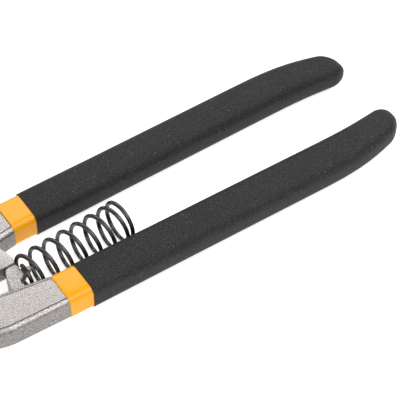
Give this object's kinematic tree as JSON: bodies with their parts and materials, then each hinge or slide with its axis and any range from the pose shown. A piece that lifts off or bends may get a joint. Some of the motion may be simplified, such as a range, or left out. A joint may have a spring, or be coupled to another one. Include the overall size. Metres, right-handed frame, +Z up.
{
  "type": "grass shears",
  "caption": "Hand shears for grass: two forged steel halves crossed on a bolt, with dipped grips and a coil return spring between the handles.",
  "frame": {"origin": "middle of the pivot bolt head's flat face, on the pivot axis, which the shears rest on", "axes": "+X from the pivot towards the grips, +Y across the handles, +Z up along the pivot axis"},
  "size_m": [0.3394, 0.0672, 0.0216],
  "materials": {
    "forged_steel": "blasted forging, grainy satin",
    "inner_dip": "glossy dipped vinyl",
    "outer_dip": "matte fine-grained dipped vinyl",
    "spring_steel": "oil-blackened spring steel",
    "plated_steel": "zinc plated",
    "nylon": "plain"
  },
  "bodies": {
    "left_side": {"left_half": "forged_steel", "left_sleeve": "inner_dip", "left_grip": "outer_dip", "return_spring": "spring_steel", "pivot_bolt": "plated_steel", "flat_washer": "plated_steel", "disc_spring": "spring_steel", "lock_nut": "plated_steel", "lock_ring": "nylon"},
    "right_side": {"right_half": "forged_steel", "right_sleeve": "inner_dip", "right_grip": "outer_dip"}
  },
  "joints": [
    {"name": "shears_open", "type": "hinge", "parent": "left_side", "child": "right_side", "pos_m": [0, 0, 0.007], "axis": [0, 0, 1], "range_deg": [0, 30]}
  ]
}
